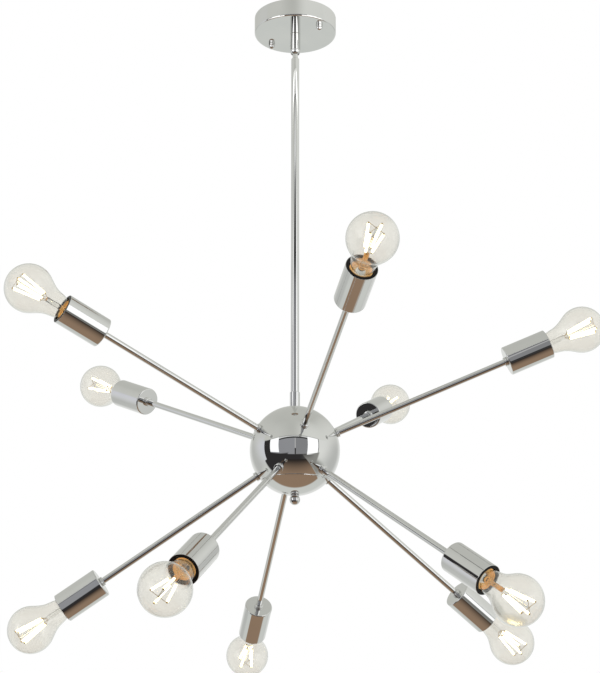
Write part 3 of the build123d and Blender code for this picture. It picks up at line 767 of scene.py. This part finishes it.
for number, place in enumerate(bulb_places, start=1):
    core = bmesh.new()
    core_part(core, brass, cap_line, place, steps=64, wave=thread_wave(-cap_rim_drop, -cap_shell_end))
    core_part(core, insulator_glass, insulator_line, place, steps=32)
    core_part(core, solder, solder_line, place, steps=32)
    core_part(core, cement, cement_line, place, steps=48)
    core_part(core, stem_glass, stem_line, place, steps=32)
    crown = Vector((0, 0, filament_head))
    for turn in range(filament_count):
        angle = 2 * pi / filament_count * (turn + 0.5)
        side = Vector((cos(angle), sin(angle), 0))
        root = side * stem_rod_radius + Vector((0, 0, lead_root))
        foot = side * filament_foot_spread + Vector((0, 0, filament_foot))
        head = side * filament_head_spread + crown
        tab = (head - foot).normalized() * tab_length
        core_bar(core, filament, place, foot + tab, head - tab, filament_radius, steps=20)
        core_bar(core, lead_wire, place, foot, foot + tab, filament_radius * tab_share)
        core_bar(core, lead_wire, place, head - tab, head, filament_radius * tab_share)
        core_bar(core, lead_wire, place, root, foot, lead_radius, steps=8)
        core_bar(core, lead_wire, place, crown, head, lead_radius, steps=8)
    core_body = f"bulb_core_{number}"
    bulb_core = finished(f"bulb_{number}_core", core, core_body, brass, core_body, hard_angle=50)
    bulb_core.visible_glossy = False
    for finish in core_finishes[1:]:
        bulb_core.data.materials.append(finish)

# --- Floor and light: a pale floor well below, and a plain bright room with one soft lamp. Bright metal
# mirrors the room: a pale ceiling, two white soft boxes and a dark gap beside a grey wall, a wooden
# floor, and two small strip lamps that stand just in front of the canopy. ---
floor_level = -2.6
floor_size = 14.0
floor_squares = 8
pale_floor, floor_nodes, floor_links = new_material("pale_floor")
floor_shader = floor_nodes["Principled BSDF"]
blotched(floor_nodes, floor_links, grain(floor_nodes, floor_links, 0.5), (0.80, 0.80, 0.79),
         (0.84, 0.84, 0.83), floor_shader.inputs["Base Color"])
matt = stretched(floor_nodes, floor_links, grain(floor_nodes, floor_links, 0.05), 0.55, 0.7)
floor_links.new(matt, floor_shader.inputs["Roughness"])
floor_mesh = bmesh.new()
bmesh.ops.create_grid(floor_mesh, x_segments=floor_squares, y_segments=floor_squares, size=floor_size / 2)
floor_data = bpy.data.meshes.new("floor")
floor_mesh.to_mesh(floor_data)
floor_mesh.free()
floor_data.materials.append(pale_floor)
floor = bpy.data.objects.new("floor", floor_data)
floor.location.z = floor_level
floor.visible_glossy = False
bpy.context.scene.collection.objects.link(floor)

world = bpy.data.worlds.new("studio")
bpy.context.scene.world = world
world.use_nodes = True
room = world.node_tree.nodes
room_links = world.node_tree.links
room.clear()


def combined(operation, first, second=0.0):
    """One step of arithmetic on two values, each a number or another node's output."""
    node = room.new("ShaderNodeMath")
    node.operation = operation
    for socket, value in zip(node.inputs, (first, second)):
        if isinstance(value, (int, float)):
            socket.default_value = value
        else:
            room_links.new(value, socket)
    return node.outputs[0]


def opposite(value):
    """The same value with its sign turned round."""
    return combined("MULTIPLY", value, -1.0)


def past(value, edge, blur):
    """0 below an edge and 1 above it, with a soft step between."""
    step = room.new("ShaderNodeMapRange")
    step.interpolation_type = "SMOOTHSTEP"
    room_links.new(value, step.inputs["Value"])
    step.inputs["From Min"].default_value = edge - blur
    step.inputs["From Max"].default_value = edge + blur
    return step.outputs["Result"]


def short_of(value, edge, blur):
    """1 below an edge and 0 above it, with a soft step between."""
    return past(opposite(value), -edge, blur)


def between(value, low, high, blur=0.01):
    """1 between two edges and 0 outside them."""
    return combined("SUBTRACT", past(value, low, blur), past(value, high, blur))


def painted(colour, below, *masks):
    """Lay a colour over what is below it, where all the masks are 1."""
    cover = masks[0]
    for mask in masks[1:]:
        cover = combined("MULTIPLY", cover, mask)
    mix = room.new("ShaderNodeMix")
    mix.data_type = "RGBA"
    room_links.new(cover, mix.inputs["Factor"])
    for name, value in (("A", below), ("B", colour)):
        if isinstance(value, tuple):
            mix.inputs[name].default_value = (*value, 1)
        else:
            room_links.new(value, mix.inputs[name])
    return mix.outputs["Result"]


# A direction, as a place on a wall one step ahead and on a floor one step below.
least_step = 0.02
direction = room.new("ShaderNodeSeparateXYZ")
room_links.new(room.new("ShaderNodeTexCoord").outputs["Generated"], direction.inputs[0])
to_right, to_back, upward = direction.outputs
to_front = opposite(to_back)
ahead = combined("MAXIMUM", to_front, least_step)
wall_x = combined("DIVIDE", to_right, ahead)
wall_z = combined("DIVIDE", upward, ahead)
beneath = opposite(upward)
downward = combined("MAXIMUM", beneath, least_step)
floor_x = combined("DIVIDE", to_right, downward)
floor_y = combined("DIVIDE", to_front, downward)
in_front = past(to_front, 0.01, blur=0.01)

# The ceiling's front edge is a wide curve, so its rise is taken over a step that is longer at the sides.
edge_curve = 0.35
sideways = combined("MULTIPLY", combined("MULTIPLY", to_right, to_right), edge_curve)
spread = combined("SQRT", combined("ADD", combined("MULTIPLY", ahead, ahead), sideways))
rise = combined("DIVIDE", upward, spread)

# The room all round: pale towards the front, cool on the left, grey low down, and dim towards the
# back, but for its light middle.
behind_dim = (0.58, 0.59, 0.57)
behind_light = (0.84, 0.85, 0.83)
behind_grey = (0.70, 0.72, 0.69)
side_light = (0.86, 0.87, 0.84)
left_tint = (0.73, 0.74, 0.80)
facing = combined("ADD", to_front, combined("MULTIPLY", upward, 0.5))
forwards = past(facing, -0.15, blur=0.45)
on_left = short_of(to_right, -0.5, blur=0.3)
straight_back = past(to_back, 0.82, blur=0.14)
low_down = past(beneath, 0.38, blur=0.1)
view = painted(side_light, behind_dim, forwards)
view = painted(left_tint, view, on_left, forwards)
view = painted(behind_light, view, straight_back)
view = painted(behind_grey, view, low_down)

# The wall in front: a grey panel in two halves, with a dark gap at each side and below it.
gap_black = (0.035, 0.033, 0.034)
panel_left_grey = (0.335, 0.34, 0.36)
panel_right_grey = (0.275, 0.278, 0.29)
panel_left, panel_joint, panel_right = -0.883, 0.02, 0.647
panel_foot, panel_head = -0.392, 0.362
left_box_edge, right_box_edge = -2.16, 1.86
left_gap_edge, right_gap_edge = -8.7, 2.0
below_panel = short_of(wall_z, panel_foot, blur=0.02)
view = painted(gap_black, view, in_front, between(wall_x, left_gap_edge, left_box_edge, blur=0.03))
view = painted(panel_left_grey, view, in_front, between(wall_x, left_box_edge, panel_joint))
view = painted(panel_right_grey, view, in_front, between(wall_x, panel_joint, right_box_edge))
view = painted(gap_black, view, in_front, between(wall_x, right_box_edge, right_gap_edge))
view = painted(gap_black, view, in_front, below_panel, between(wall_x, left_gap_edge, right_gap_edge))

# The joint of its halves: a light line that opens into a dark slot at its foot.
joint_light = (0.55, 0.55, 0.55)
joint_foot = -0.11
line_left, line_right = 0.0, 0.04
slot_left, slot_right = -0.005, 0.05
joint_blur = 0.004
on_line = between(wall_x, line_left, line_right, joint_blur)
in_slot = between(wall_x, slot_left, slot_right, joint_blur)
view = painted(joint_light, view, in_front, on_line, between(wall_z, joint_foot, panel_head))
view = painted(gap_black, view, in_front, in_slot, between(wall_z, panel_foot, joint_foot))

# Above the panel a dark strip and a light one, and at each side of it a white soft box.
strip_dark = (0.04, 0.04, 0.04)
strip_light = (0.80, 0.81, 0.80)
soft_box = (1.35, 1.36, 1.37)
strip_head = 0.436
left_box_foot, right_box_foot = -0.32, -0.46
on_panel = between(wall_x, panel_left, panel_right)
in_left_box = between(wall_x, left_box_edge, panel_left)
in_right_box = between(wall_x, panel_right, right_box_edge)
view = painted(strip_dark, view, in_front, between(wall_z, panel_head, strip_head), on_panel)
view = painted(strip_light, view, in_front, past(wall_z, strip_head, blur=0.01), on_panel)
view = painted(soft_box, view, in_front, past(wall_z, left_box_foot, blur=0.01), in_left_box)
view = painted(soft_box, view, in_front, past(wall_z, right_box_foot, blur=0.01), in_right_box)

# The ceiling, lit from both sides by the soft boxes, with a dark line along its front edge.
ceiling_grey = (0.59, 0.597, 0.56)
ceiling_light = (0.90, 0.91, 0.87)
line_dark = (0.20, 0.20, 0.20)
ceiling_line = 0.49
line_below, line_above = 0.01, 0.012
right_share, left_share = 0.7, 0.25
right_glow = combined("MULTIPLY", past(to_right, 0.2, blur=0.3), right_share)
left_glow = combined("MULTIPLY", short_of(to_right, -0.4, blur=0.3), left_share)
near_boxes = short_of(rise, 2.0, blur=1.4)
room_ceiling = painted(ceiling_light, ceiling_grey, combined("MAXIMUM", right_glow, left_glow), near_boxes)
above_line = combined("MULTIPLY", past(upward, 0.3, blur=0.02), past(rise, ceiling_line, blur=0.012))
to_side = short_of(to_front, 0.05, blur=0.07)
at_side = combined("MULTIPLY", past(upward, 0.36, blur=0.22), to_side)
in_middle = combined("MULTIPLY", above_line, combined("SUBTRACT", 1.0, to_side))
view = painted(room_ceiling, view, combined("ADD", at_side, in_middle))
on_edge = between(rise, ceiling_line - line_below, ceiling_line + line_above, blur=0.006)
along_wall = between(wall_x, left_gap_edge, right_gap_edge, blur=0.3)
view = painted(line_dark, view, past(to_front, 0.15, blur=0.02), on_edge, along_wall)

# The floor: grey to the right, dark to the left, and between them wood that darkens towards the wall.
right_floor = (0.30, 0.30, 0.28)
wood_brown = (0.325, 0.222, 0.150)
wood_dark = (0.028, 0.024, 0.022)
wood_back, wood_fade, wood_front = -0.6, 0.05, 1.44
wood_side = 0.92
dark_side = -3.0
near_foot = past(wall_x, 0.9, blur=0.7)
far_foot = short_of(wall_x, 2.3, blur=0.3)
steeply_down = past(beneath, 0.42, blur=0.14)
right_of_wood = past(floor_x, wood_side, blur=0.1)
near_right = short_of(floor_x, 2.1, blur=0.7)
not_behind = past(floor_y, -0.3, blur=0.4)
view = painted(right_floor, view, in_front, below_panel, near_foot, far_foot)
view = painted(right_floor, view, steeply_down, right_of_wood, near_right, not_behind)
left_of_wood = between(floor_x, dark_side, -wood_side, blur=0.08)
from_middle = past(floor_y, -0.05, blur=0.08)
view = painted(gap_black, view, past(beneath, 0.30, blur=0.04), left_of_wood, from_middle)
fading = past(floor_y, (wood_front + wood_fade) / 2, blur=(wood_front - wood_fade) / 2)
wood = painted(wood_dark, wood_brown, fading)
across_wood = between(floor_x, -wood_side, wood_side, blur=0.03)
on_wood = combined("MULTIPLY", across_wood, past(floor_y, wood_back, blur=0.08))
before_wall = short_of(floor_y, wood_front, blur=0.05)
view = painted(wood, view, past(beneath, 0.3, blur=0.02), on_wood, before_wall)

# Mirrors show the room, the camera and clear glass a white background, and all else gets soft light.
soft_strength = 0.75
rays = room.new("ShaderNodeLightPath")
mirrored = room.new("ShaderNodeBackground")
room_links.new(view, mirrored.inputs["Color"])
white = room.new("ShaderNodeBackground")
white.inputs["Color"].default_value = (1, 1, 1, 1)
soft = room.new("ShaderNodeBackground")
soft.inputs["Color"].default_value = (1, 0.995, 0.98, 1)
soft.inputs["Strength"].default_value = soft_strength
first_choice = room.new("ShaderNodeMixShader")
room_links.new(rays.outputs["Is Glossy Ray"], first_choice.inputs[0])
room_links.new(soft.outputs[0], first_choice.inputs[1])
room_links.new(mirrored.outputs[0], first_choice.inputs[2])
seen_through = combined("MAXIMUM", rays.outputs["Is Camera Ray"], rays.outputs["Is Transmission Ray"])
second_choice = room.new("ShaderNodeMixShader")
room_links.new(seen_through, second_choice.inputs[0])
room_links.new(first_choice.outputs[0], second_choice.inputs[1])
room_links.new(white.outputs[0], second_choice.inputs[2])
room_links.new(second_choice.outputs[0], room.new("ShaderNodeOutputWorld").inputs["Surface"])

lamp_power = 40
lamp_size = 1.6
lamp_place = (-1.6, -1.4, 0.9)
lamp_aim = Vector((0, 0, -0.6))
lamp_data = bpy.data.lights.new("soft_lamp", "AREA")
lamp_data.energy = lamp_power
lamp_data.size = lamp_size
lamp = bpy.data.objects.new("soft_lamp", lamp_data)
lamp.location = lamp_place
lamp.rotation_euler = (lamp_aim - lamp.location).to_track_quat("-Z", "Y").to_euler()
lamp.visible_glossy = False
bpy.context.scene.collection.objects.link(lamp)

# The strips show in gloss alone, and are there for the chrome of the canopy, its nuts and the swivel.
# They face up as well as back, so that the hub doesn't see them.
strip_height = 58 * mm
strip_tilt = radians(27.5)
strip_place = (-75 * mm, -62 * mm)
strip_power = 0.05
strips = (("left_strip", -32 * mm, -200 * mm), ("right_strip", 19 * mm, 186 * mm))
for name, near, far in strips:
    strip_data = bpy.data.lights.new(name, "AREA")
    strip_data.shape = "RECTANGLE"
    strip_data.size = abs(far - near)
    strip_data.size_y = strip_height
    strip_data.energy = strip_power
    strip = bpy.data.objects.new(name, strip_data)
    strip.location = ((near + far) / 2, *strip_place)
    strip.rotation_euler = (pi / 2 + strip_tilt, 0, 0)
    strip.visible_diffuse = False
    strip.visible_transmission = False
    bpy.context.scene.collection.objects.link(strip)

# --- Camera: two metres in front of the fixture and half a metre below the hub, looking up at it. The
# place and the lens are those that fit the ten bulbs of the photograph. ---
camera_place = (0.0066, -2.0434, -1.1032)
camera_rise = 17.34
camera_lens = 87.24
camera_data = bpy.data.cameras.new("camera")
camera_data.sensor_width = 36
camera_data.lens = camera_lens
camera = bpy.data.objects.new("camera", camera_data)
camera.location = camera_place
camera.rotation_euler = (radians(90 + camera_rise), 0, 0)
bpy.context.scene.collection.objects.link(camera)
bpy.context.scene.camera = camera
bpy.context.scene.view_settings.view_transform = "Standard"
